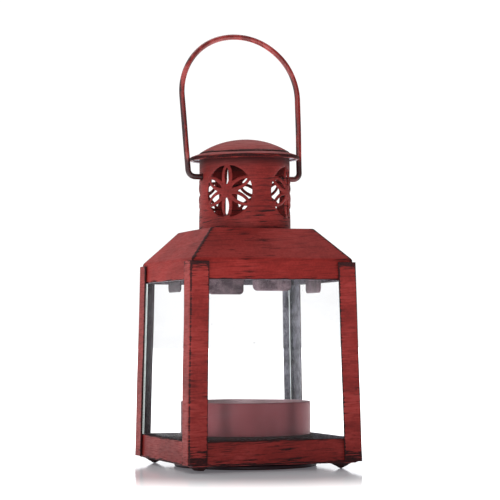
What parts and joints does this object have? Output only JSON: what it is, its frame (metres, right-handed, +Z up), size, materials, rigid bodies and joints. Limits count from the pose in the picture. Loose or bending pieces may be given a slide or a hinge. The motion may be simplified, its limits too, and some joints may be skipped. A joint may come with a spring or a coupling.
{
  "type": "tealight lantern",
  "caption": "Small square metal candle lantern with glass walls, hipped roof, pierced round chimney, domed lid, wire bail and a tealight cup that drops out of the base.",
  "frame": {"origin": "middle of the body on the standing plane that the four feet touch", "axes": "+Z up through the chimney; -Y is the front wall; the bail swings about X"},
  "size_m": [0.056, 0.056, 0.137],
  "materials": {
    "lantern_paint": "satin red with dark dry-brushed wear",
    "bail_paint": "satin red over dark wire",
    "bare_sheet": "mottled zinc",
    "window_glass": "clear",
    "cup_metal": "satin, tinted",
    "dish_metal": "satin dark",
    "tealight_metal": "bright foil",
    "candle_wax": "wax",
    "wick_cotton": "waxed cotton"
  },
  "bodies": {
    "lantern": {"base_pan": "lantern_paint", "post_front_left": "lantern_paint", "post_front_right": "lantern_paint", "post_rear_left": "lantern_paint", "post_rear_right": "lantern_paint", "roof": "lantern_paint", "chimney": "lantern_paint", "lid": "lantern_paint", "pane_clip_front": "bare_sheet", "pane_clip_right": "bare_sheet", "pane_clip_rear": "bare_sheet", "pane_clip_left": "bare_sheet", "pane_front": "window_glass", "pane_right": "window_glass", "pane_rear": "window_glass", "pane_left": "window_glass"},
    "bail": {"bail": "bail_paint"},
    "candle_holder": {"candle_cup": "cup_metal", "cup_dish": "dish_metal"},
    "tealight": {"tealight_shell": "tealight_metal", "candle_wax": "candle_wax", "wick_sustainer": "tealight_metal", "wick": "wick_cotton"}
  },
  "joints": [
    {"name": "bail_swing", "type": "hinge", "parent": "lantern", "child": "bail", "pos_m": [0, 0, 0.0903], "axis": [1, 0, 0], "range_deg": [-123, 139]},
    {"name": "cup_release", "type": "slide", "parent": "lantern", "child": "candle_holder", "axis": [0, 0, 1], "range_m": [-0.026, 0]},
    {"name": "tealight_lift", "type": "slide", "parent": "candle_holder", "child": "tealight", "axis": [0, 0, 1], "range_m": [0, 0.02]}
  ]
}
